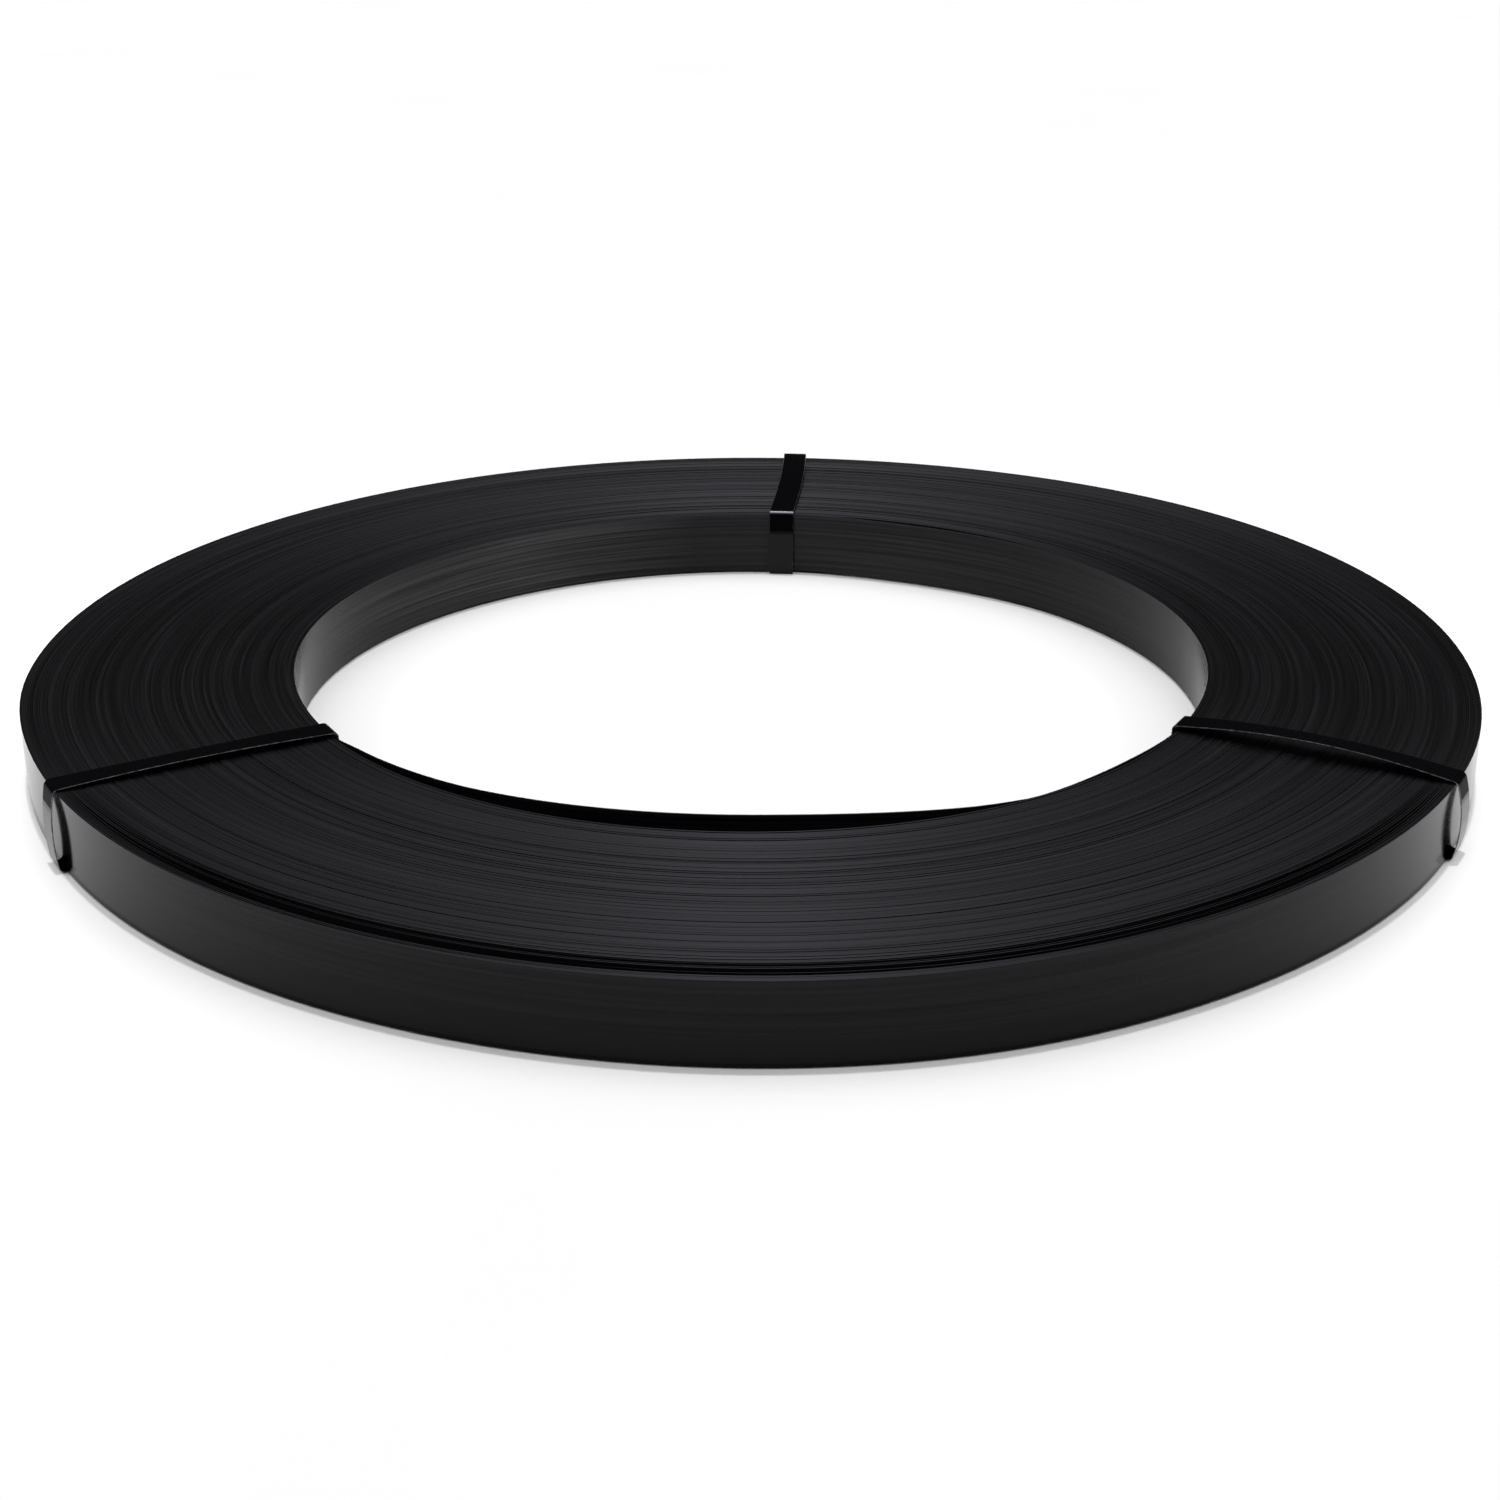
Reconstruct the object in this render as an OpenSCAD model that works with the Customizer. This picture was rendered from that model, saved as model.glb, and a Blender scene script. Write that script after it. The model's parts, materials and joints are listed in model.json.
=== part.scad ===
// Ribbon-wound coil of black steel strapping, held by three tie straps.
// Millimetres, +Z up. The origin is on the floor, on the axis of the bore.
// The rear of the coil is at +Y, and angles turn counter-clockwise from +X.

/* [Strap] */
// Width of the wound strap, which is the height of the lying coil
strap_w = 31.75; // [12.5:0.05:32]
// Thickness of the wound strap
strap_t = 0.79; // [0.5:0.01:1.2]

/* [Coil] */
// Diameter of the bore
bore_d = 406.4; // [300:0.1:510]
// Turns that lie tight on each other, counted from the bore
tight_turns = 126; // [20:1:180]
// Air that winding leaves between two tight turns
turn_gap = 0.01; // [0:0.005:0.05]
// Turns near the outside that have sprung apart
loose_turns = 6; // [1:1:12]
// Air in front of each turn that has sprung apart
loose_gap = 1.1; // [0.3:0.05:2]
// Depth to which the gaps of the loose turns show on each end
loose_depth = 5; // [1:0.5:6]
// Tight turns of the rim, outside the loose ones
rim_turns = 4; // [1:1:12]
// How far out of line the turns' edges stand on each end
edge_stagger = 0.4; // [0.1:0.05:1]

/* [Ties] */
// Width of the tie strap
tie_w = 12.7; // [9.5:0.1:19]
// Thickness of the tie strap
tie_t = 0.5; // [0.4:0.01:0.8]
// Angle of the rear tie
rear_tie_angle = 85.4; // [60:0.1:110]
// Angle of the left tie
left_tie_angle = 210.5; // [185:0.1:235]
// Angle of the right tie
right_tie_angle = 330.6; // [305:0.1:355]
// How far the tie bows out from the outer wall, halfway up
outer_bow = 4.2; // [2:0.1:6]
// How far the tie bows up from the top of the coil, halfway across
top_bow = 3; // [2:0.1:6]
// Stand-off of the tie's shoulder over the coil's top outer corner, up and outwards
shoulder_lift = 0.9; // [0.7:0.1:1.5]
// Inside radius of the tie's bends over the top corners
top_bend_r = 2; // [1:0.1:3]
// Inside radius of the tie's bend below the outer wall, on a wide strap
foot_bend_r = 3; // [1:0.1:3.5]
// Air between the tie and the bore's wall, and between its bend and the corner above
tie_gap = 0.05; // [0.03:0.01:0.2]

/* [Hidden] */
$fn = 180;
coil_black = "#26262a";
tie_black = "#161618";

// Winding: radii of the turns, from the bore outwards
turns = tight_turns + loose_turns + rim_turns;
bore_r = bore_d / 2;
tight_pitch = strap_t + turn_gap;
loose_pitch = strap_t + loose_gap;
loose_from = bore_r + tight_turns * tight_pitch;
rim_from = loose_from + loose_turns * loose_pitch;
coil_r = rim_from + rim_turns * tight_pitch;

function is_loose(i) = i >= tight_turns && i < tight_turns + loose_turns;
function turn_from(i) =
    i < tight_turns ? bore_r + i * tight_pitch
    : is_loose(i) ? loose_from + (i - tight_turns) * loose_pitch + loose_gap
    : rim_from + (i - tight_turns - loose_turns) * tight_pitch;
function turn_to(i) = turn_from(i) + (is_loose(i) ? strap_t : tight_pitch);

// Heights: each turn is one strap width high and lies a little off its neighbours
golden_share = 0.618;
function fraction(x) = x - floor(x);
function turn_foot(i) = tie_t + edge_stagger * fraction(i * golden_share);
function turn_top(i) = turn_foot(i) + strap_w;
coil_top = tie_t + strap_w + edge_stagger;

// Edge of one turn on an end of the coil, with the gap in front of it if it is loose.
// sense is 1 on the top and -1 on the underside.
function turn_edge(i, end, sense) =
    let (groove = end - sense * loose_depth)
    concat(
        is_loose(i) ? [[turn_from(i) - loose_gap, groove], [turn_from(i), groove]] : [],
        [[turn_from(i), end], [turn_to(i), end]]
    );
function reversed(points) = [for (k = [len(points) - 1 : -1 : 0]) points[k]];

module strapping_coil() {
    top_edges = [for (i = [0 : turns - 1], p = turn_edge(i, turn_top(i), 1)) p];
    foot_edges = [for (i = [0 : turns - 1], p = turn_edge(i, turn_foot(i), -1)) p];
    color(coil_black)
        rotate_extrude()
            polygon(concat(foot_edges, reversed(top_edges)));
}

// The tie is bent in a plane through the coil's axis. Its inside is a row of corners, each
// rounded by a bend. It lies flat under the coil and along the bore, where its two edges come
// nearest to the round wall, and it bows out and up from the other two sides.
tie_inner_x = sqrt(pow(bore_r, 2) - pow(tie_w / 2, 2)) - tie_gap;
top_inner_reach = top_bend_r - (bore_r - tie_inner_x);
top_inner_lift = top_bend_r - sqrt(pow(top_bend_r - tie_gap, 2) - pow(top_inner_reach, 2));
// A narrow strap leaves less height for the bend below the outer wall
foot_bend_share = 0.1;
foot_r = min(foot_bend_r, strap_w * foot_bend_share);
foot_inner = [tie_inner_x, tie_t];
foot_outer = [coil_r + foot_r, tie_t];
shoulder = [coil_r + shoulder_lift, coil_top + shoulder_lift];
top_inner = [tie_inner_x, coil_top + top_inner_lift];

// A bow is an arc over this share of the two straight runs that meet at its corner,
// so the corner stands higher over the chord than the bow does
bow_share = 0.8;
function bow_corner_height(bow) = bow / (1 - bow_share / 2);
outer_chord = (foot_outer + shoulder) / 2;
top_chord = (top_inner + shoulder) / 2;
outer_corner = outer_chord + [bow_corner_height(coil_r + outer_bow - outer_chord.x), 0];
top_corner = top_chord + [0, bow_corner_height(coil_top + top_bow - top_chord.y)];

function heading(from, to) = atan2(to.y - from.y, to.x - from.x);
function turn_at(a, corner, b) = (heading(corner, b) - heading(a, corner) + 720) % 360;
function bow_radius(a, corner, b) =
    bow_share * min(norm(a - corner), norm(b - corner)) / tan(turn_at(a, corner, b) / 2);

// Each corner with the inside radius of its bend
tie_corners = [
    [foot_inner, tie_gap],
    [foot_outer, foot_r],
    [outer_corner, bow_radius(foot_outer, outer_corner, shoulder)],
    [shoulder, top_bend_r],
    [top_corner, bow_radius(shoulder, top_corner, top_inner)],
    [top_inner, top_bend_r]
];

// Points of the arc that rounds one corner, moved outwards by offset
arc_steps = 10;
function corner_arc(k, offset) =
    let (
        count = len(tie_corners),
        a = tie_corners[(k + count - 1) % count][0],
        corner = tie_corners[k][0],
        b = tie_corners[(k + 1) % count][0],
        radius = tie_corners[k][1],
        turn = turn_at(a, corner, b),
        inwards = heading(a, corner) + 90 + turn / 2,
        centre = corner + radius / cos(turn / 2) * [cos(inwards), sin(inwards)]
    )
    [
        for (s = [0 : arc_steps])
            let (out = heading(a, corner) - 90 + turn * s / arc_steps)
            centre + (radius + offset) * [cos(out), sin(out)]
    ];
function tie_outline(offset) =
    [for (k = [0 : len(tie_corners) - 1], p = corner_arc(k, offset)) p];

module tie_strap(angle) {
    color(tie_black)
        rotate([0, 0, angle])
            rotate([90, 0, 0])
                linear_extrude(height = tie_w, center = true)
                    difference() {
                        polygon(tie_outline(tie_t));
                        polygon(tie_outline(0));
                    }
}

module tie_strap_rear() tie_strap(rear_tie_angle);
module tie_strap_left() tie_strap(left_tie_angle);
module tie_strap_right() tie_strap(right_tie_angle);

strapping_coil();
tie_strap_rear();
tie_strap_left();
tie_strap_right();
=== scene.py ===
"""A ribbon-wound coil of black steel strapping with three tie straps, lying on a pale floor.

Metres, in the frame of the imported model: +Z up, the bore's axis on the origin, the front at -Y.
"""

import json
import math

import bpy
import numpy as np
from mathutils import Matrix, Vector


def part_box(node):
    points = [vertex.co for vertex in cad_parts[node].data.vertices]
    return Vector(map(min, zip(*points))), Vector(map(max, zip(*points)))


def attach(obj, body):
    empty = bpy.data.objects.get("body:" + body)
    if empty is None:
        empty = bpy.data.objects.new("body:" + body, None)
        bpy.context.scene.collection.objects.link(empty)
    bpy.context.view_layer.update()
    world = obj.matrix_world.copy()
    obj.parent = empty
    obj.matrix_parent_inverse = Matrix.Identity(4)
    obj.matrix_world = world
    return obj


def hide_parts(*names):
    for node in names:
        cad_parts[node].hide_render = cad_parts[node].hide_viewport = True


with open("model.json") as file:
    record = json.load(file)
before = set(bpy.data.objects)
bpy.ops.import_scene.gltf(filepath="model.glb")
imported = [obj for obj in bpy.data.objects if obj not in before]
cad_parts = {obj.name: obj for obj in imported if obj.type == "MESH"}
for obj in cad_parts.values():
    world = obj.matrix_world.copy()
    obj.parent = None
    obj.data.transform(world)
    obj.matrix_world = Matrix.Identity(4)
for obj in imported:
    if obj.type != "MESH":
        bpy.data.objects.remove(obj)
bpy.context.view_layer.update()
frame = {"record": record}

MM = 0.001
TAU = 2 * math.pi
UP = np.array([0.0, 0.0, 1.0])
QUAD = 4
scene = bpy.context.scene

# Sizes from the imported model
COIL_NODE = "strapping_coil"
REAR, LEFT, RIGHT = TIE_NODES = ("tie_strap_rear", "tie_strap_left", "tie_strap_right")
bore = next(mount for mount in frame["record"]["mounts"] if mount["name"] == "bore")
BORE_R = bore["dims"]["r_mm"] * MM
STRAP_W = bore["dims"]["length_mm"] * MM
coil_low, coil_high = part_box(COIL_NODE)
COIL_R = max(coil_high.x, coil_high.y)
COIL_FOOT = coil_low.z
COIL_TOP = coil_high.z


def node_angle(name):
    """The angle of a tie about the bore's axis, counter-clockwise from +X, in radians."""
    low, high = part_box(name)
    return math.atan2(low.y + high.y, low.x + high.x) % TAU


TIE_ANGLE = {name: node_angle(name) for name in TIE_NODES}

# The winding starts and ends under the rear tie
STRAP_T = 0.79 * MM
TURNS = 135
SEGMENTS = 180
SEED = 7
FRONT_ANGLE = math.radians(270)

# The ties pinch the rim, and it springs out between them. Each stretch from tie to tie has the
# angle of its widest place, how far it springs out there, how steeply, and how far its turns open.
TIE_PINCH = {REAR: -0.5 * MM, LEFT: 1.65 * MM, RIGHT: 1.2 * MM}
TIE_STOPS = (TIE_ANGLE[REAR], TIE_ANGLE[LEFT], TIE_ANGLE[RIGHT], TIE_ANGLE[REAR] + TAU)
STOP_PINCHES = (TIE_PINCH[REAR], TIE_PINCH[LEFT], TIE_PINCH[RIGHT], TIE_PINCH[REAR])
RIM_STRETCHES = (
    (math.radians(188), 2.4 * MM, 2.6, 0.12),
    (math.radians(280), 3.1 * MM, 5.5, 1.0),
    (math.radians(395), 4.1 * MM, 2.2, 0.18),
)
BORE_SWELL = 1.4 * MM
BORE_SWELL_AT = math.radians(160)
BORE_SWELL_SPREAD = math.radians(35)

# Air before each loose turn where it is open. The room that is left is shared by all turns. The
# inner loose turns open at the front, each by a random share of their gap.
INNER_LOOSE_TURNS = range(1, 6)
INNER_LOOSE_GAP = 0.1 * MM
INNER_LOOSE_SHARE = (0.3, 1.0)
FIRST_LOOSE_TURN = 124
LOOSE_GAPS = np.array([0.15, 0.25, 1.0, 0.6, 0.6, 1.3, 1.1, 0.9, 0.12, 0.12, 0.12]) * MM
OPENING_POWER = 0.6

# Heights of the turns over the lowest one, with waves along each turn. Two loose turns sink where
# they are open, and the last turns stand at least as high as the stagger.
STAGGER = 0.32 * MM
HEIGHT_WAVE = 0.05 * MM
HEIGHT_HARMONICS = (1, 2, 3)
SUNK_TURNS = (129, 130)
SUNK = -0.4 * MM
RIM_TURNS = 2

# How far the edges lean outwards: turn by turn, in groups, in waves and where the turns are open
EDGE_TILT = math.radians(5)
GROUP_TILT = math.radians(2)
GROUP_TURNS = 5
TILT_WAVE = EDGE_TILT / 3
TILT_HARMONICS = (1, 2, 4)
SUNK_TILT = math.radians(-28)
LOW_TURNS = (126, 127, 128)
LOW_TILT = math.radians(-21)
HALF_OPEN_TILT = math.radians(-24)
EDGE_CROWN = math.radians(8)

# The share of a turn from which its height and lean go over into those of the next turn
BLEND_FROM = 0.85

# Half a tie's width seen from the axis, and on the left tie with the skew of its inner end
TIE_EDGE_ANGLE = math.radians(1.8)
LEFT_EDGE_ANGLE = math.radians(3.25)

# Where the innermost turn stands slack in the bore: the angles where it leaves the wall, peaks and
# comes back, its bow, and the powers of its rise and fall. It drops where the bow is wide.
SLACK_STRETCHES = (
    (TIE_STOPS[1] + LEFT_EDGE_ANGLE, math.radians(270), math.radians(302), 16 * MM, 1.25, 1.1),
    (TIE_STOPS[1] + LEFT_EDGE_ANGLE, math.radians(218), math.radians(236), 1.6 * MM, 1.0, 1.5),
    (math.radians(302), math.radians(316), TIE_STOPS[2] - TIE_EDGE_ANGLE, 1.6 * MM, 1.5, 1.5),
    (math.radians(400), math.radians(427), TIE_STOPS[3] - TIE_EDGE_ANGLE, 2.6 * MM, 1.5, 1.3),
)
SLACK_DROP = -0.4 * MM
SLACK_DROP_BOW = 5 * MM

# The ties' strip, with bevelled edges
TIE_W = 12.7 * MM
TIE_T = 0.5 * MM
TIE_EDGE = 0.12 * MM
TIE_SHARP = math.radians(35)

# A tie's loop: how far its bows and corners stand off the coil, and the radii of its bends. The
# inner bow stands further into the bore than a straight line from the inner foot to the crease.
TIE_OUTER_BOW = {REAR: 3.0 * MM, LEFT: 2.8 * MM, RIGHT: 3.3 * MM}
TIE_TOP_BOW = {REAR: 3.0 * MM, LEFT: 1.8 * MM, RIGHT: 5.0 * MM}
TIE_INNER_BOW = 0.8 * MM
TIE_INNER_BOW_SHARE = 0.62
TIE_BOW_SHARE = 0.8
TIE_SHOULDER = {REAR: 1.8 * MM, LEFT: 0.4 * MM, RIGHT: 0.4 * MM}
TIE_SHOULDER_R = 2.5 * MM
TIE_INNER_LIFT = 1.4 * MM
TIE_CREASE_R = 1.4 * MM
TIE_FOOT_OUT = {REAR: 1.2 * MM, LEFT: 2.0 * MM, RIGHT: 1.4 * MM}
TIE_FOOT_R = 2.2 * MM
TIE_FOOT_IN = 1.5 * MM
TIE_FOLD_R = 0.05 * MM
TIE_WALL_GAP = 0.7 * MM
TIE_ARC_STEPS = 14

# How far a tie is moved along the rim: the middle of its top run clockwise from above, and the two
# ends of that run and the outer foot counter-clockwise. The roll lifts one edge of the top run.
TIE_SWAY = {REAR: 1.6 * MM, LEFT: 0.0, RIGHT: 0.0}
TIE_SKEW_INNER = {REAR: 0.0, LEFT: 5.0 * MM, RIGHT: 0.0}
TIE_SKEW_OUTER = {REAR: 0.0, LEFT: 3.2 * MM, RIGHT: 0.0}
TIE_LEAN = {REAR: 0.0, LEFT: 3.5 * MM, RIGHT: 0.0}
TIE_ROLL = {REAR: 0.0, LEFT: 0.6 * MM, RIGHT: -0.7 * MM}

# Attributes that the materials read, and how narrow the wear on a crease is
TURN = "turn"
WEAR = "wear"
WEAR_POWER = 3

# Finishes: linear colours, gloss as Principled specular level, and ranges of roughness. Noise along
# the winding has features along a radian, across a metre or turn and up a metre, then detail and
# roughness. Other noise has a scale, detail and roughness. The inner face is greyer in places by the X
# of its direction from the axis, and a tie's gloss goes by the lowest height that has it. The wall's
# colour fades towards the foot as painted shade, and the edges' colour holds painted sheen in thin
# bright lines.
WALL_STREAKS = (1.5, 60, 500, 3.0, 0.6)
WALL_SMUDGES = (6, 20, 20, 2.0, 0.5)
# Colours of the wall: black paint, up to its streaks, which fade towards the foot as painted shade
WALL_STREAK_AND_SHADE_COLOURS = ((0.0004, 0.0004, 0.0005), (0.013, 0.013, 0.0138))
WALL_ROUGHNESS = (0.08, 0.15)
WALL_GLOSS = 0.12
INSIDE_STREAKS = (1.2, 60, 700, 3.0, 0.65)
INSIDE_COLOURS = ((0.004, 0.004, 0.0045), (0.085, 0.085, 0.088))
INSIDE_ROUGHNESS = (0.14, 0.24)
# Grey levels of the inner face by the X of its direction from the axis
INSIDE_GREY_BY_X = ((-1.0, 0.25), (-0.6, 1.0), (-0.15, 0.2), (0.4, 0.32), (1.0, 0.1))
EDGE_LINES = (1.3, 1.7, 0, 2.0, 0.6)
EDGE_BANDS = (2, 0.12, 0, 2.0, 0.5)
EDGE_BAND_DEPTH = (0.5, 1.0)
EDGE_LINE_POWER = 2
# Colours of the painted sheen on the edges, from none to the brightest line
EDGE_SHEEN_COLOURS = ((0.0003, 0.0003, 0.0003), (0.0085, 0.0084, 0.0090))
EDGE_ROUGHNESS = (0.51, 0.63)
EDGE_GLOSS = 0.335
EDGE_TINT = (0.90, 0.87, 1.0)
EDGE_ANISOTROPY = 0.77
ACROSS_TURNS = 0.25
TIE_GRAIN = (180, 3.0, 0.6)
TIE_WEAR_DEPTH = (0.8, 1.0)
TIE_COLOURS = ((0.0024, 0.0024, 0.0028), (0.21, 0.21, 0.24))
TIE_ROUGHNESS = (0.14, 0.24)
TIE_WORN_ROUGHNESS = 0.3
TIE_GLOSS = ((0.0, 0.16), (23.5 * MM, 0.07), (24.5 * MM, 0.004))
SLIT_GRAIN = (400, 3.0, 0.6)
SLIT_COLOURS = ((0.05, 0.05, 0.055), (0.30, 0.30, 0.31))
SLIT_ROUGHNESS = (0.3, 0.5)
SLIT_METAL = 0.8
FLOOR_GRAIN = (3, 2.0, 0.5)
FLOOR_COLOURS = ((0.83, 0.83, 0.83), (0.85, 0.85, 0.85))
FLOOR_ROUGHNESS = 0.9
FLOOR_GLOSS = 0.0
NOISE_RANGE = (0.3, 0.7)
UNIT = (0.0, 1.0)

# The stage: a floor, a dark room with a wide soft light overhead, a sun and a lamp over each side.
# Each step of the sky is the sine of a height and the level of the light there. The light is
# drawn out sideways. Past the floor the camera sees plain paper.
FLOOR_HALF = 40.0
FLOOR_DROP = 0.2 * MM
SKY = ((0.30, 0.01), (0.55, 0.03), (0.75, 0.20), (0.93, 0.85), (1.0, 1.0))
SKY_TINT = (0.992, 0.988, 1.0)
SKY_SQUEEZE = (0.5, 1.0, 1.0)
SKY_STRENGTH = 1.93
PAPER = (1.0, 1.0, 1.0)
KEY_STRENGTH = 1.15
KEY_ANGLE = math.radians(2.5)
KEY_FROM_REAR = math.radians(6.5)
SIDE_LIGHT_PLACE = (0.85, -0.05, 0.42)
SIDE_LIGHT_SIDE = 0.5
SIDE_LIGHT_SPREAD = math.radians(110)
SIDE_LIGHT_POWER = 5.0

# The camera, with the pixel of the photograph that its axis meets
CAMERA_PLACE = (0.0, -0.9609, 0.3809)
CAMERA_PITCH = math.radians(90 - 21.62)
CAMERA_LENS = 54.0
SENSOR = 36.0
PHOTO_SIDE = 1500
AXIS_PIXEL = (751.36, 709.47)


def smoothstep(x):
    """An even ease from 0 to 1."""
    x = np.clip(x, 0, 1)
    return x * x * (3 - 2 * x)


def half_open(opening):
    """A hump over how far turns are open: 0 when shut, 1 when half open and 0 when fully open."""
    return 4 * opening * (1 - opening)


def link_object(name, data):
    """A new object in the scene with a mesh, lamp or camera."""
    made = bpy.data.objects.new(name, data)
    scene.collection.objects.link(made)
    return made


def mesh_of_quads(name, points, quads):
    """A mesh from an array of points and an array of quads."""
    mesh = bpy.data.meshes.new(name)
    mesh.vertices.add(len(points))
    mesh.vertices.foreach_set("co", points.astype(np.float32).ravel())
    mesh.loops.add(quads.size)
    mesh.loops.foreach_set("vertex_index", quads.astype(np.int32).ravel())
    mesh.polygons.add(len(quads))
    mesh.polygons.foreach_set("loop_start", np.arange(0, quads.size, QUAD, dtype=np.int32))
    mesh.update(calc_edges=True)
    return mesh


# The coil: one strip wound from the bore outwards

def rise_and_fall(angles, start, peak, end):
    """A quarter wave up from start to peak and another down from peak to end, each from 0 to 1."""
    rise = np.clip((angles - start) / (peak - start), 0, 1)
    fall = np.clip((end - angles) / (end - peak), 0, 1)
    return np.sin(rise * math.pi / 2), np.sin(fall * math.pi / 2)


def rim_spring(angles):
    """How far the rim springs out at each angle, and how far its loose turns open there."""
    spring = np.zeros(len(angles))
    opening = np.zeros(len(angles))
    for start, end, (peak, height, power, share) in zip(TIE_STOPS, TIE_STOPS[1:], RIM_STRETCHES):
        swell = np.minimum(*rise_and_fall(angles, start, peak, end))
        spring += height * swell ** power
        opening += share * swell ** OPENING_POWER
    return spring, opening


def winding_radii(angles, share):
    """The radius of the strip's inner side in every section. Each turn has the same angles."""
    random = np.random.default_rng(SEED)
    spring, opening = rim_spring(angles)
    inside = BORE_R + BORE_SWELL * np.exp(-((angles - BORE_SWELL_AT) / BORE_SWELL_SPREAD) ** 2)
    rim = COIL_R - np.interp(angles, TIE_STOPS, STOP_PINCHES) + spring - STRAP_T * (1 - share)
    gaps = np.zeros((TURNS, len(angles)))
    front = np.clip(np.cos(angles - FRONT_ANGLE), 0, 1) ** 2
    for turn in INNER_LOOSE_TURNS:
        gaps[turn] = INNER_LOOSE_GAP * front * random.uniform(*INNER_LOOSE_SHARE)
    for count, gap in enumerate(LOOSE_GAPS):
        gaps[FIRST_LOOSE_TURN + count] = gap * opening
    air = np.cumsum(gaps, axis=0)
    wound = np.arange(TURNS)[:, None] + share
    pitch = (rim - STRAP_T - inside - air[-1]) / wound[-1]
    return np.append(inside + wound * pitch + air, inside[0] + TURNS * pitch[0])


def winding_heights(angles):
    """The height of each turn's lower edge at each angle."""
    random = np.random.default_rng(SEED + 1)
    heights = np.repeat(random.uniform(0, STAGGER, TURNS + 1)[:, None], len(angles), axis=1)
    for harmonic in HEIGHT_HARMONICS:
        start = random.uniform(0, TAU, TURNS + 1)[:, None]
        heights += HEIGHT_WAVE * np.sin(harmonic * angles[None, :] + start)
    heights = np.clip(heights, 0, COIL_TOP - COIL_FOOT - STRAP_W)
    heights[-RIM_TURNS:] = np.maximum(heights[-RIM_TURNS:], STAGGER)
    opening = rim_spring(angles)[1]
    for turn in SUNK_TURNS:
        heights[turn] += (SUNK - heights[turn]) * smoothstep(opening)
    return COIL_FOOT + heights


def edge_tilts(angles):
    """How far each turn's edges lean outwards at each angle."""
    random = np.random.default_rng(SEED + 2)
    single = random.normal(0, EDGE_TILT, TURNS + 1)
    spread = np.ones(GROUP_TURNS) / math.sqrt(GROUP_TURNS)
    group = np.convolve(random.normal(0, GROUP_TILT, TURNS + 1), spread, mode="same")
    tilts = np.repeat((single + group)[:, None], len(angles), axis=1)
    for harmonic in TILT_HARMONICS:
        start = random.uniform(0, TAU, TURNS + 1)[:, None]
        tilts += TILT_WAVE * np.sin(harmonic * angles[None, :] + start)
    opening = rim_spring(angles)[1]
    for turn in SUNK_TURNS:
        tilts[turn] += SUNK_TILT * smoothstep(opening)
    for turn in LOW_TURNS:
        tilts[turn] += LOW_TILT * smoothstep(opening)
    tilts[FIRST_LOOSE_TURN:] += HALF_OPEN_TILT * half_open(opening)
    return tilts


def along_strip(turns, share):
    """One value for each section of the strip, which goes from each turn's value to the next."""
    sections = turns[:-1] * (1 - share) + turns[1:] * share
    return np.append(sections, turns[-1, 0])


def slack_bow(angles):
    """How far the innermost turn stands away from the wall of the bore."""
    bow = np.zeros(len(angles))
    for start, peak, end, height, rise_power, fall_power in SLACK_STRETCHES:
        rise, fall = rise_and_fall(angles, start, peak, end)
        bow += height * np.where(angles < peak, rise ** rise_power, fall ** fall_power)
    return bow


def strip_sections():
    """The angle, inner radius, lower edge and edge tilt of every section along the strip."""
    share = np.arange(SEGMENTS) / SEGMENTS
    angles = TIE_STOPS[0] + TAU * share
    late = smoothstep((share - BLEND_FROM) / (1 - BLEND_FROM))
    radius = winding_radii(angles, share)
    foot = along_strip(winding_heights(angles), late)
    tilt = along_strip(edge_tilts(angles), late)
    angle = TIE_STOPS[0] + TAU * np.arange(len(radius)) / SEGMENTS
    bow = slack_bow(angles)
    radius[:SEGMENTS] -= bow
    sunk = smoothstep(bow / SLACK_DROP_BOW)
    foot[:SEGMENTS] += (COIL_FOOT + SLACK_DROP - foot[:SEGMENTS]) * sunk
    return angle, radius, foot, tilt


def strip_normals(along, outwards, tilt):
    """Shading normals of the strip's faces: smooth walls, crowned edges and two flat ends."""
    out = np.column_stack([outwards, np.zeros(len(outwards))])

    def leaning(angle_out, sense):
        return out * np.sin(angle_out)[:, None] + sense * UP * np.cos(angle_out)[:, None]

    crown = np.full(len(outwards), EDGE_CROWN)
    first = [leaning(-crown, -1), out, leaning(tilt + crown, 1), -out]
    second = [leaning(crown, -1), out, leaning(tilt - crown, 1), -out]
    sides = [
        np.stack([near[:-1], near[1:], far[1:], far[:-1]], axis=1) for near, far in zip(first, second)
    ]
    ends = np.column_stack([[-along[0], along[-1]], np.zeros(2)])
    return np.concatenate([np.stack(sides, axis=1).reshape(-1, 3), np.repeat(ends, QUAD, axis=0)])


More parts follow.
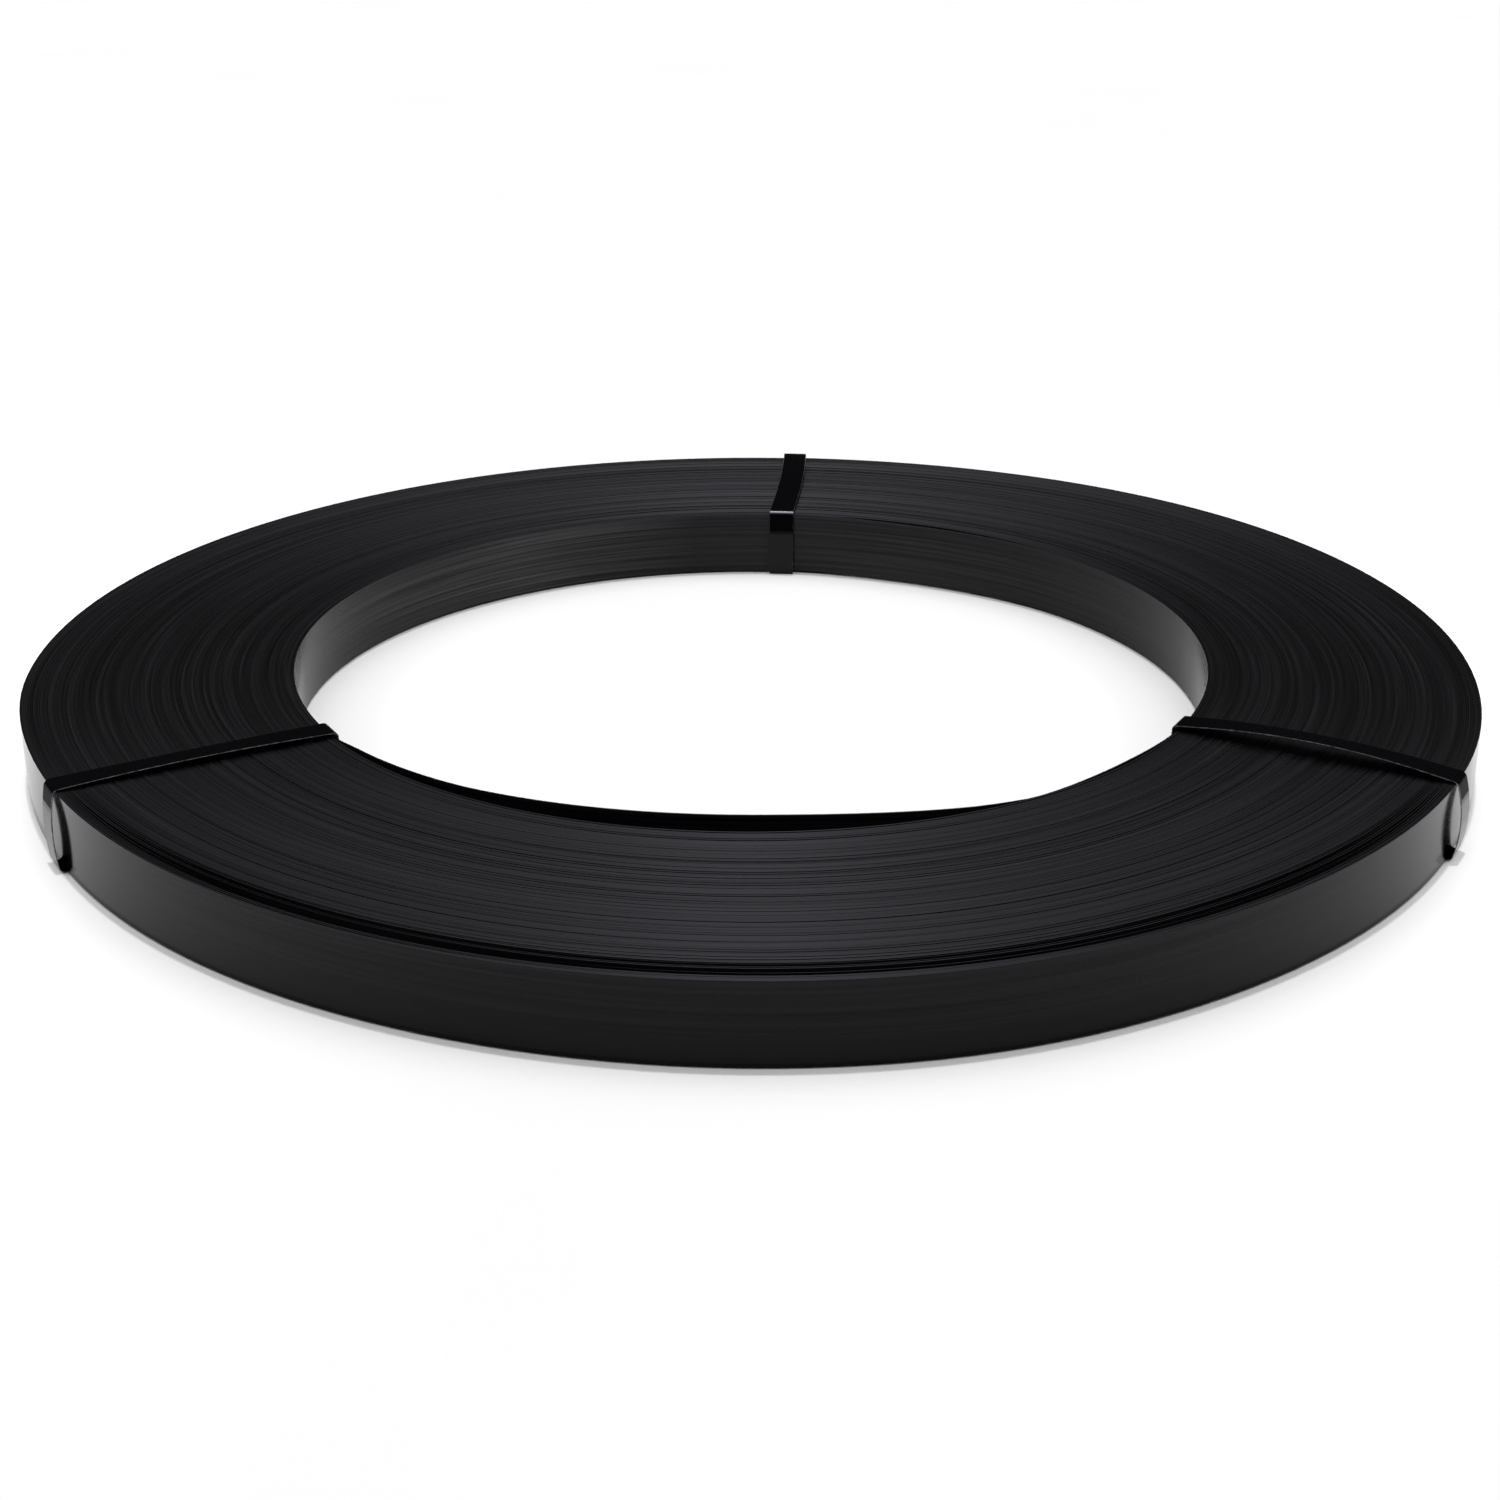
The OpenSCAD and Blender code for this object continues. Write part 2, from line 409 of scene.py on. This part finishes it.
def build_coil():
    """The strip as one mesh. Its slots are the outer wall, the edges and the inner face."""
    angle, radius, foot, tilt = strip_sections()
    count = len(angle)
    centre = np.stack([radius * np.cos(angle), radius * np.sin(angle)], axis=1)
    along = np.gradient(centre, axis=0)
    along /= np.linalg.norm(along, axis=1)[:, None]
    outwards = np.stack([along[:, 1], -along[:, 0]], axis=1)
    lean = STRAP_T / 2 * np.tan(tilt)

    def corner(side, height):
        return np.column_stack([centre + outwards * side, height])

    inner_foot = corner(0, foot)
    outer_foot = corner(STRAP_T, foot)
    outer_top = corner(STRAP_T, foot + STRAP_W - lean)
    inner_top = corner(0, foot + STRAP_W + lean)
    section = [inner_foot, outer_foot, outer_top, inner_top]
    points = np.stack(section, axis=1).reshape(-1, 3)

    sides = len(section)
    here = np.arange(count - 1)[:, None] * sides
    there = here + sides
    side = np.arange(sides)[None, :]
    after = (side + 1) % sides
    quads = np.stack([here + side, there + side, there + after, here + after], axis=2)
    first_end = np.arange(sides)
    last_end = len(points) - 1 - first_end
    faces = np.concatenate([quads.reshape(-1, QUAD), [first_end, last_end]])
    mesh = mesh_of_quads("strap_winding", points, faces)
    wall, edge, inside = range(3)
    slots = np.append(np.tile([edge, wall, edge, inside], count - 1), [wall, wall])
    mesh.polygons.foreach_set("material_index", slots.astype(np.int32))
    turn = mesh.attributes.new(TURN, "FLOAT", "POINT")
    turn.data.foreach_set("value", np.repeat(angle / TAU, sides).astype(np.float32))
    mesh.shade_smooth()
    mesh.normals_split_custom_set(strip_normals(along, outwards, tilt))
    return link_object("strapping_strip_wound", mesh)


# The ties: strips bent into loops round the coil's section

def heading(a, b):
    """The angle of the line from a to b."""
    return math.atan2(b[1] - a[1], b[0] - a[0])


def rounded_loop(corners):
    """Points, outward directions and crease wear along a loop of (point, bend radius) corners."""
    points = []
    normals = []
    wear = []
    for k, (corner, radius) in enumerate(corners):
        before = corners[k - 1][0]
        after = corners[(k + 1) % len(corners)][0]
        start = heading(before, corner)
        turn = (heading(corner, after) - start) % TAU
        if radius is None:
            run = min(math.dist(before, corner), math.dist(corner, after))
            radius = TIE_BOW_SHARE * run / math.tan(turn / 2)
        inwards = start + math.pi / 2 + turn / 2
        reach = radius / math.cos(turn / 2)
        middle = np.array(corner) + reach * np.array([math.cos(inwards), math.sin(inwards)])
        for step in range(TIE_ARC_STEPS + 1):
            facing = start - math.pi / 2 + turn * step / TIE_ARC_STEPS
            normal = np.array([math.cos(facing), math.sin(facing)])
            points.append(middle + radius * normal)
            normals.append(normal)
            creased = math.sin(math.pi * step / TIE_ARC_STEPS) ** WEAR_POWER
            wear.append(creased if radius == TIE_CREASE_R else 0.0)
    return np.array(points), np.array(normals), np.array(wear)


def bow_corner(a, b, out, bow):
    """The corner over the middle of a to b that an arc leaves the given bow under."""
    middle = (np.array(a) + np.array(b)) / 2
    return middle + np.array(out) * bow / (1 - TIE_BOW_SHARE / 2)


def tie_corners(node, rim):
    """Corners of a tie's loop as radius and height, each with its bend radius or None for a bow."""
    inner = math.sqrt(BORE_R ** 2 - (TIE_W / 2) ** 2) - TIE_WALL_GAP
    foot_inner = (inner - TIE_FOOT_IN, COIL_FOOT)
    foot_outer = (rim + TIE_FOOT_OUT[node], COIL_FOOT)
    shoulder = (rim + TIE_SHOULDER[node], COIL_TOP + TIE_SHOULDER[node])
    top_inner = (inner, COIL_TOP + TIE_INNER_LIFT)
    outer_bow = TIE_OUTER_BOW[node] - ((foot_outer[0] + shoulder[0]) / 2 - rim)
    top_bow = TIE_TOP_BOW[node] - ((top_inner[1] + shoulder[1]) / 2 - COIL_TOP)
    inner_bow_z = COIL_FOOT + (COIL_TOP - COIL_FOOT) * TIE_INNER_BOW_SHARE
    return [
        (foot_inner, TIE_FOLD_R),
        (foot_outer, TIE_FOOT_R),
        (bow_corner(foot_outer, shoulder, (1, 0), outer_bow), None),
        (shoulder, TIE_SHOULDER_R),
        (bow_corner(top_inner, shoulder, (0, 1), top_bow), None),
        (top_inner, TIE_CREASE_R),
        ((inner - TIE_INNER_BOW, inner_bow_z), None),
    ]


def tie_drift(node, path, rim):
    """How far a tie is moved along the rim and how far it rolls, at each point of its path."""
    across_coil = np.clip((path[:, :1] - BORE_R) / (rim - BORE_R), 0, 1)
    mid_run = np.sin(across_coil * math.pi)
    skew = TIE_SKEW_INNER[node] * (1 - across_coil) + TIE_SKEW_OUTER[node] * across_coil
    depth = np.clip((COIL_TOP - path[:, 1:]) / (COIL_TOP - COIL_FOOT), 0, 1)
    sway = skew - TIE_SWAY[node] * mid_run + TIE_LEAN[node] * across_coil * depth
    roll = TIE_ROLL[node] * mid_run * (path[:, 1:] > COIL_TOP)
    return sway, roll


def tie_slots(path, sides):
    """A slot for each face: 0 for slit edges, and else a paint by the height that the path reaches."""
    slit_sides = (1, 2, 4, 5)
    inner_side = 3
    paint = sum((path[:, 1] >= lowest).astype(np.int32) for lowest, _ in TIE_GLOSS)
    slots = np.repeat(paint[:, None], sides, axis=1)
    slots[:, slit_sides] = 0
    slots[:, inner_side] = len(TIE_GLOSS)
    return slots


def build_tie(node):
    """A tie as one closed mesh. Its slots are the slit edges and then the paints of TIE_GLOSS."""
    angle = TIE_ANGLE[node]
    turn_left = (TIE_STOPS[0] - angle) % TAU / TAU
    rim = COIL_R - TIE_PINCH[node] - STRAP_T * turn_left
    path, facing, creases = rounded_loop(tie_corners(node, rim))
    sway, roll = tie_drift(node, path, rim)
    half = TIE_W / 2
    inset = half - TIE_EDGE
    profile = [(-inset, TIE_T), (inset, TIE_T), (half, TIE_T / 2),
               (inset, 0), (-inset, 0), (-half, TIE_T / 2)]
    radial = np.array([math.cos(angle), math.sin(angle), 0.0])
    sideways = np.array([-math.sin(angle), math.cos(angle), 0.0])
    rings = []
    for across, out in profile:
        place = path + facing * out
        height = place[:, 1:] + roll * across / half
        rings.append(place[:, :1] * radial + height * UP + (across + sway) * sideways)
    points = np.stack(rings, axis=1).reshape(-1, 3)
    count = len(path)
    sides = len(profile)
    here = np.arange(count)[:, None] * sides
    there = (np.arange(count)[:, None] + 1) % count * sides
    side = np.arange(sides)[None, :]
    after = (side + 1) % sides
    quads = np.stack([here + after, here + side, there + side, there + after], axis=2)
    mesh = mesh_of_quads(node + "_bent", points, quads.reshape(-1, QUAD))
    mesh.polygons.foreach_set("material_index", tie_slots(path, sides).ravel())
    wear = mesh.attributes.new(WEAR, "FLOAT", "POINT")
    wear.data.foreach_set("value", np.repeat(creases, sides).astype(np.float32))
    mesh.shade_smooth()
    mesh.set_sharp_from_angle(angle=TIE_SHARP)
    return link_object(node + "_bent", mesh)


# Materials

def new_material(name):
    """A new material, its node tree and its shader."""
    material = bpy.data.materials.new(name)
    material.use_nodes = True
    tree = material.node_tree
    return material, tree, tree.nodes["Principled BSDF"]


def add(tree, kind, **settings):
    """A new node of a kind, with its settings."""
    made = tree.nodes.new(kind)
    for key, value in settings.items():
        setattr(made, key, value)
    return made


def join(tree, node, *values):
    """Link sockets, or set numbers, on a node's inputs in their order. Returns its first output."""
    for socket, value in zip(node.inputs, values):
        if isinstance(value, bpy.types.NodeSocket):
            tree.links.new(value, socket)
        else:
            socket.default_value = value
    return node.outputs[0]


def math_node(tree, operation, first, second):
    return join(tree, add(tree, "ShaderNodeMath", operation=operation), first, second)


def vector_node(tree, operation, *values):
    return join(tree, add(tree, "ShaderNodeVectorMath", operation=operation), *values)


def object_place(tree):
    """Sockets of the place on the object and of its X, Y and Z."""
    place = add(tree, "ShaderNodeTexCoord").outputs["Object"]
    split = add(tree, "ShaderNodeSeparateXYZ")
    tree.links.new(place, split.inputs[0])
    return place, split.outputs["X"], split.outputs["Y"], split.outputs["Z"]


def winding_place(tree):
    """Sockets that follow the winding: the direction from the axis, the radius and the height."""
    x, y, z = object_place(tree)[1:]
    flat = join(tree, add(tree, "ShaderNodeCombineXYZ"), x, y, 0.0)
    length = add(tree, "ShaderNodeVectorMath", operation="LENGTH")
    tree.links.new(flat, length.inputs[0])
    return vector_node(tree, "NORMALIZE", flat), length.outputs["Value"], z


def noise(tree, vector, scale, detail, roughness):
    """Noise that fills the range from 0 to 1."""
    made = add(tree, "ShaderNodeTexNoise")
    made.inputs["Scale"].default_value = scale
    made.inputs["Detail"].default_value = detail
    made.inputs["Roughness"].default_value = roughness
    tree.links.new(vector, made.inputs["Vector"])
    return span(tree, made.outputs["Fac"], NOISE_RANGE, UNIT)


def winding_noise(tree, place, grain):
    """Noise that is drawn out along the turns."""
    direction, outwards, height = place
    along, across, up, detail, roughness = grain
    slow = vector_node(tree, "MULTIPLY", direction, (along, along, along))
    depth = math_node(tree, "MULTIPLY", outwards, across)
    rise = math_node(tree, "MULTIPLY", height, up)
    third = math_node(tree, "ADD", depth, rise)
    lift = join(tree, add(tree, "ShaderNodeCombineXYZ"), 0.0, 0.0, third)
    return noise(tree, vector_node(tree, "ADD", slow, lift), 1.0, detail, roughness)


def span(tree, value, source, target):
    """Map a value from one range to another, and hold it at their ends."""
    return join(tree, add(tree, "ShaderNodeMapRange"), value, *source, *target)


def ramp(tree, value, stops):
    """A colour by a value from 0 to 1, between stops of a place and a colour."""
    made = add(tree, "ShaderNodeValToRGB")
    elements = made.color_ramp.elements
    while len(elements) < len(stops):
        elements.new(1.0)
    for element, (place, colour) in zip(elements, stops):
        element.position = place
        element.color = (*colour, 1)
    tree.links.new(value, made.inputs[0])
    return made.outputs["Color"]


def between(tree, value, colours):
    """A colour between two by a value from 0 to 1."""
    return ramp(tree, value, ((0, colours[0]), (1, colours[1])))


def wall_material():
    """Waxed black paint with streaks, whose colour fades towards the foot as painted shade."""
    material, tree, shader = new_material("black_waxed_strap")
    place = winding_place(tree)
    streaks = winding_noise(tree, place, WALL_STREAKS)
    smudges = winding_noise(tree, place, WALL_SMUDGES)
    # Painted shade: the streaks' colour fades to the darkest at the foot
    share = span(tree, place[2], (COIL_FOOT, COIL_TOP), UNIT)
    streaks_and_painted_shade = math_node(tree, "MULTIPLY", streaks, share)
    tree.links.new(between(tree, streaks_and_painted_shade, WALL_STREAK_AND_SHADE_COLOURS), shader.inputs["Base Color"])
    tree.links.new(span(tree, smudges, UNIT, WALL_ROUGHNESS), shader.inputs["Roughness"])
    shader.inputs["Specular IOR Level"].default_value = WALL_GLOSS
    return material


def inside_material():
    """The strip's inner face, greyer in places along the bore by the X of its direction from the axis.
    """
    material, tree, shader = new_material("greyed_inner_face")
    place = winding_place(tree)
    streaks = winding_noise(tree, place, INSIDE_STREAKS)
    smudges = winding_noise(tree, place, WALL_SMUDGES)
    aside = add(tree, "ShaderNodeSeparateXYZ")
    tree.links.new(place[0], aside.inputs[0])
    # A grey level that goes by the X of the direction from the axis, times the streaks
    stops = [((x + 1) / 2, (level, level, level)) for x, level in INSIDE_GREY_BY_X]
    rubbed = ramp(tree, span(tree, aside.outputs["X"], (-1, 1), UNIT), stops)
    grey = math_node(tree, "MULTIPLY", streaks, rubbed)
    tree.links.new(between(tree, grey, INSIDE_COLOURS), shader.inputs["Base Color"])
    tree.links.new(span(tree, smudges, UNIT, INSIDE_ROUGHNESS), shader.inputs["Roughness"])
    shader.inputs["Specular IOR Level"].default_value = WALL_GLOSS
    return material


def edge_material():
    """The strip's slit edges, which shine across the turns, with painted sheen in thin bright lines
    along single turns.
    """
    material, tree, shader = new_material("black_strap_edges")
    direction, _, height = winding_place(tree)
    turn = add(tree, "ShaderNodeAttribute", attribute_name=TURN).outputs["Fac"]
    place = (direction, turn, height)
    lines = winding_noise(tree, place, EDGE_LINES)
    bands = winding_noise(tree, place, EDGE_BANDS)
    # Painted sheen: the base colour brightens in thin lines along single turns, deeper in some bands
    bright = math_node(tree, "POWER", lines, EDGE_LINE_POWER)
    painted_sheen = math_node(tree, "MULTIPLY", bright, span(tree, bands, UNIT, EDGE_BAND_DEPTH))
    tree.links.new(between(tree, painted_sheen, EDGE_SHEEN_COLOURS), shader.inputs["Base Color"])
    tree.links.new(span(tree, lines, UNIT, EDGE_ROUGHNESS), shader.inputs["Roughness"])
    shader.inputs["Specular IOR Level"].default_value = EDGE_GLOSS
    shader.inputs["Specular Tint"].default_value = (*EDGE_TINT, 1)
    shader.inputs["Anisotropic"].default_value = EDGE_ANISOTROPY
    shader.inputs["Anisotropic Rotation"].default_value = ACROSS_TURNS
    around = add(tree, "ShaderNodeTangent", direction_type="RADIAL", axis="Z")
    tree.links.new(around.outputs[0], shader.inputs["Tangent"])
    return material


def tie_material(number, gloss):
    """Black paint, rubbed through to the steel on the crease over the bore."""
    material, tree, shader = new_material(f"black_tie_strap_{number}")
    grain = noise(tree, object_place(tree)[0], *TIE_GRAIN)
    wear = add(tree, "ShaderNodeAttribute", attribute_name=WEAR).outputs["Fac"]
    worn = math_node(tree, "MULTIPLY", wear, span(tree, grain, UNIT, TIE_WEAR_DEPTH))
    tree.links.new(between(tree, worn, TIE_COLOURS), shader.inputs["Base Color"])
    tree.links.new(worn, shader.inputs["Metallic"])
    rubbed = math_node(tree, "MULTIPLY", wear, TIE_WORN_ROUGHNESS)
    rough = math_node(tree, "ADD", rubbed, span(tree, grain, UNIT, TIE_ROUGHNESS))
    tree.links.new(rough, shader.inputs["Roughness"])
    shader.inputs["Specular IOR Level"].default_value = gloss
    return material


def slit_material():
    """The bare slit edges of the ties."""
    material, tree, shader = new_material("bare_slit_edge")
    grain = noise(tree, object_place(tree)[0], *SLIT_GRAIN)
    tree.links.new(between(tree, grain, SLIT_COLOURS), shader.inputs["Base Color"])
    tree.links.new(span(tree, grain, UNIT, SLIT_ROUGHNESS), shader.inputs["Roughness"])
    shader.inputs["Metallic"].default_value = SLIT_METAL
    return material


def floor_material():
    """A plain matt floor, a little uneven in tone."""
    material, tree, shader = new_material("pale_floor")
    grain = noise(tree, object_place(tree)[0], *FLOOR_GRAIN)
    tree.links.new(between(tree, grain, FLOOR_COLOURS), shader.inputs["Base Color"])
    shader.inputs["Roughness"].default_value = FLOOR_ROUGHNESS
    shader.inputs["Specular IOR Level"].default_value = FLOOR_GLOSS
    return material


# The stage

def build_floor():
    signs = np.array([[-1, -1], [1, -1], [1, 1], [-1, 1]])
    corners = np.column_stack([signs * FLOOR_HALF, np.full(QUAD, -FLOOR_DROP)])
    floor = link_object("floor", mesh_of_quads("floor", corners, np.arange(QUAD)[None, :]))
    floor.data.materials.append(floor_material())


def build_sky():
    """Soft light by height, with plain paper in its place where the camera looks past the floor."""
    world = bpy.data.worlds.new("studio")
    scene.world = world
    world.use_nodes = True
    tree = world.node_tree
    direction = add(tree, "ShaderNodeTexCoord").outputs["Generated"]
    drawn_out = vector_node(tree, "MULTIPLY", direction, SKY_SQUEEZE)
    split = add(tree, "ShaderNodeSeparateXYZ")
    tree.links.new(vector_node(tree, "NORMALIZE", drawn_out), split.inputs[0])
    stops = [(height, tuple(level * tint for tint in SKY_TINT)) for height, level in SKY]
    light = tree.nodes["Background"]
    tree.links.new(ramp(tree, split.outputs["Z"], stops), light.inputs["Color"])
    light.inputs["Strength"].default_value = SKY_STRENGTH
    paper = add(tree, "ShaderNodeBackground")
    paper.inputs["Color"].default_value = (*PAPER, 1)
    seen = add(tree, "ShaderNodeLightPath").outputs["Is Camera Ray"]
    mix = add(tree, "ShaderNodeMixShader")
    sky = join(tree, mix, seen, light.outputs[0], paper.outputs[0])
    tree.links.new(sky, tree.nodes["World Output"].inputs["Surface"])


def build_lamps():
    """A sun that stands a little to the rear, and a square lamp over each side."""
    sun = bpy.data.lights.new("key", "SUN")
    sun.energy = KEY_STRENGTH
    sun.angle = KEY_ANGLE
    link_object("key", sun).rotation_euler = (-KEY_FROM_REAR, 0, 0)
    for name, side in (("left_lamp", -1), ("right_lamp", 1)):
        panel = bpy.data.lights.new(name, "AREA")
        panel.energy = SIDE_LIGHT_POWER
        panel.size = SIDE_LIGHT_SIDE
        panel.spread = SIDE_LIGHT_SPREAD
        link_object(name, panel).location = (side * SIDE_LIGHT_PLACE[0], *SIDE_LIGHT_PLACE[1:])


def build_camera():
    """The photograph's camera, shifted so that its axis meets the same pixel."""
    lens = bpy.data.cameras.new("camera")
    lens.lens = CAMERA_LENS
    lens.sensor_width = SENSOR
    lens.shift_x = (PHOTO_SIDE / 2 - AXIS_PIXEL[0]) / PHOTO_SIDE
    lens.shift_y = (AXIS_PIXEL[1] - PHOTO_SIDE / 2) / PHOTO_SIDE
    camera = link_object("camera", lens)
    camera.location = CAMERA_PLACE
    camera.rotation_euler = (CAMERA_PITCH, 0, 0)
    scene.camera = camera


def dress(piece, node, materials):
    """Give a piece its materials, and put it in the place of a node."""
    for material in materials:
        piece.data.materials.append(material)
    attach(piece, "root")
    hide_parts(node)


build_camera()
build_floor()
build_sky()
build_lamps()
scene.view_settings.view_transform = "Standard"

coil_finishes = [wall_material(), edge_material(), inside_material()]
dress(build_coil(), COIL_NODE, coil_finishes)
paints = [tie_material(number, gloss) for number, (_, gloss) in enumerate(TIE_GLOSS)]
tie_finishes = [slit_material()] + paints
for tie_node in TIE_NODES:
    dress(build_tie(tie_node), tie_node, tie_finishes)
